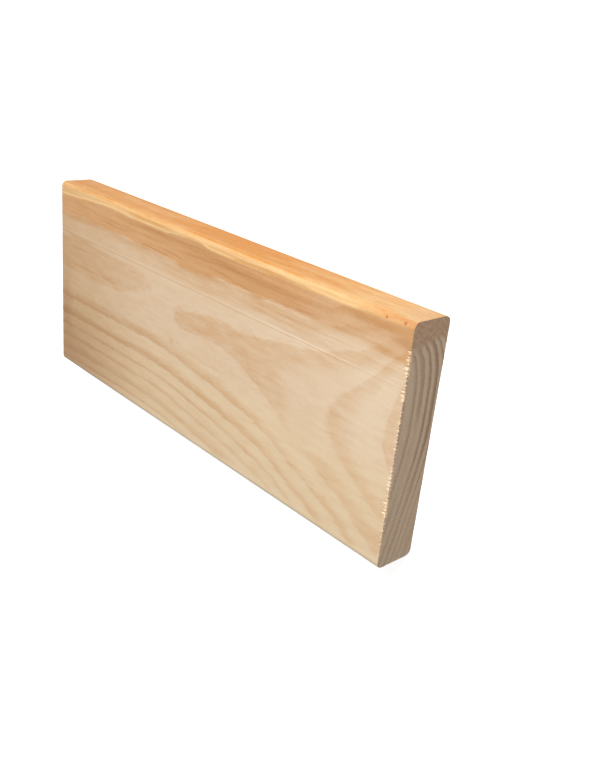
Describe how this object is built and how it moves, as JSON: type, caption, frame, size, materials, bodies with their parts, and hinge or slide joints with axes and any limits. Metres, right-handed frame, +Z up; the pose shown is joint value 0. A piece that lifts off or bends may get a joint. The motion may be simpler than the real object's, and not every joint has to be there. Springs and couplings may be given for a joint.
{
  "type": "timber plank",
  "caption": "Flat dressed softwood plank with eased long arrises and square sawn ends, for laying, fixing or butting as board stock.",
  "frame": {"origin": "centre of the underside, the back wide face that the plank lies on", "axes": "+X along the grain, +Y across the width towards the orange heart-side edge, +Z up through the thickness to the wide face that the picture shows"},
  "size_m": [0.355, 0.145, 0.028],
  "materials": {
    "planed_pine": "planed, unfinished"
  },
  "bodies": {
    "root": {"plank": "planed_pine"}
  },
  "joints": []
}
